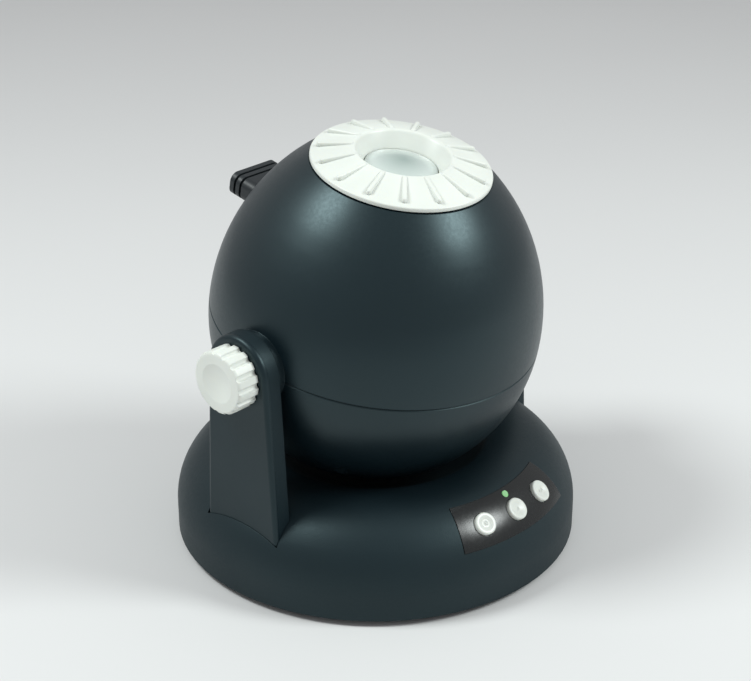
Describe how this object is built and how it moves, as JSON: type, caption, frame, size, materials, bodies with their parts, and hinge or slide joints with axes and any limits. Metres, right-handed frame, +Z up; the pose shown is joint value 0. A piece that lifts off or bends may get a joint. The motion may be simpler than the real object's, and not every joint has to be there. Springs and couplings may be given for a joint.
{
  "type": "planetarium projector",
  "caption": "Egg-shaped star projector head with a ribbed focus ring and a rear star-disc tray, tilting between two arms on a round battery base with push buttons.",
  "frame": {"origin": "centre of the base on the surface it stands on, under its rubber feet", "axes": "+Z up, -Y towards the buttons at the front, +X along the head's tilt axis towards the plain pivot cap"},
  "size_m": [0.194, 0.186, 0.1912],
  "materials": {
    "head_shell": "satin moulded slate plastic",
    "base_shell": "fine matt moulded slate plastic",
    "arm_plastic": "fine matt moulded slate plastic",
    "arm_skin": "satin moulded slate plastic",
    "ring_white": "satin warm white",
    "knob_plastic": "satin warm white",
    "tray_skin": "satin moulded slate plastic",
    "grip_plastic": "matt dark",
    "button_white": "satin warm white",
    "panel_gloss": "gloss dark",
    "barrel_white": "fine matt warm white",
    "inner_black": "matt black",
    "acetal": "natural moulded acetal",
    "nylon": "natural nylon",
    "lens_glass": "polished, coated",
    "star_film": "dark film with clear dots",
    "screw_steel": "plated",
    "motor_can": "plated can",
    "sink_aluminium": "extruded",
    "board": "solder mask",
    "led": "phosphor under a clear dome",
    "switch_black": "matt black",
    "socket_metal": "plated",
    "light_pipe": "clear",
    "cell_jacket": "plain printed jacket",
    "contact_nickel": "nickel plated",
    "foot_rubber": "matt"
  },
  "bodies": {
    "base": {"base_pan": "base_shell", "base_cover": "base_shell", "rubber_feet": "foot_rubber", "base_screws": "screw_steel", "control_panel": "panel_gloss", "control_board": "board", "tact_switches": "switch_black", "status_light": "light_pipe", "power_socket": "socket_metal", "battery_cells": "cell_jacket", "battery_contacts": "contact_nickel", "right_arm": "arm_plastic", "left_arm": "arm_plastic", "right_arm_cover": "arm_skin", "left_arm_cover": "arm_skin", "arm_screws": "screw_steel", "friction_washers": "nylon", "pivot_cap": "knob_plastic"},
    "door": {"battery_door": "base_shell", "door_screws": "screw_steel"},
    "head": {"upper_shell": "head_shell", "lower_shell": "head_shell", "shell_screws": "screw_steel", "left_trunnion": "inner_black", "right_trunnion": "inner_black", "optical_chassis": "inner_black", "lens_tower": "inner_black", "tower_screws": "screw_steel", "condenser_lens": "lens_glass", "lamp_housing": "inner_black", "led_board": "board", "led_emitter": "led", "heat_sink": "sink_aluminium", "gear_motor": "motor_can", "motor_screws": "screw_steel", "driver_board": "board"},
    "ring": {"focus_ring": "ring_white", "ring_retainer": "inner_black"},
    "lens": {"lens_barrel": "barrel_white", "cam_pins": "screw_steel", "front_lens": "lens_glass", "rear_lens": "lens_glass", "lens_retainer": "barrel_white"},
    "tray": {"disc_tray": "tray_skin", "tray_grip": "grip_plastic"},
    "disc": {"disc_gear": "acetal", "star_film": "star_film", "film_clip": "inner_black"},
    "pinion": {"drive_pinion": "acetal", "motor_shaft": "screw_steel"},
    "knob": {"tilt_knob": "knob_plastic"},
    "rotation_key": {"rotation_button": "button_white"},
    "power_key": {"power_button": "button_white"},
    "timer_key": {"timer_button": "button_white"}
  },
  "joints": [
    {"name": "head_tilt", "type": "hinge", "parent": "base", "child": "head", "pos_m": [0, 0, 0.106], "axis": [1, 0, 0], "range_deg": [-56.5, 33.5]},
    {"name": "focus_turn", "type": "hinge", "parent": "head", "child": "ring", "pos_m": [0, 0, 0.106], "axis": [0, -0.1994, 0.9799], "range_deg": [-45, 45]},
    {"name": "lens_focus", "type": "slide", "parent": "head", "child": "lens", "axis": [0, -0.1994, 0.9799], "range_m": [-0.003, 0.003]},
    {"name": "tray_slide", "type": "slide", "parent": "head", "child": "tray", "axis": [0, 0.9799, 0.1994], "range_m": [0, 0.062]},
    {"name": "disc_spin", "type": "hinge", "parent": "tray", "child": "disc", "pos_m": [0, 0, 0.106], "axis": [0, -0.1994, 0.9799], "continuous": true},
    {"name": "pinion_spin", "type": "hinge", "parent": "head", "child": "pinion", "pos_m": [0, -0.04165, 0.09753], "axis": [0, -0.1994, 0.9799], "continuous": true},
    {"name": "knob_turn", "type": "hinge", "parent": "head", "child": "knob", "pos_m": [0, 0, 0.106], "axis": [1, 0, 0], "range_deg": [0, 180]},
    {"name": "rotation_press", "type": "slide", "parent": "base", "child": "rotation_key", "axis": [0.1603, 0.6887, -0.7071], "range_m": [0, 0.0012], "stiffness_N_per_m": 600, "springref_m": -0.0005},
    {"name": "power_press", "type": "slide", "parent": "base", "child": "power_key", "axis": [0, 0.7071, -0.7071], "range_m": [0, 0.0012], "stiffness_N_per_m": 600, "springref_m": -0.0005},
    {"name": "timer_press", "type": "slide", "parent": "base", "child": "timer_key", "axis": [-0.1603, 0.6887, -0.7071], "range_m": [0, 0.0012], "stiffness_N_per_m": 600, "springref_m": -0.0005},
    {"name": "door_drop", "type": "slide", "parent": "base", "child": "door", "axis": [0, 0, -1], "range_m": [0, 0.02]}
  ],
  "couplings": [
    {"joint": "lens_focus", "follows": "focus_turn", "m_per_rad": 0.0038},
    {"joint": "pinion_spin", "follows": "disc_spin", "ratio": -3.25}
  ]
}
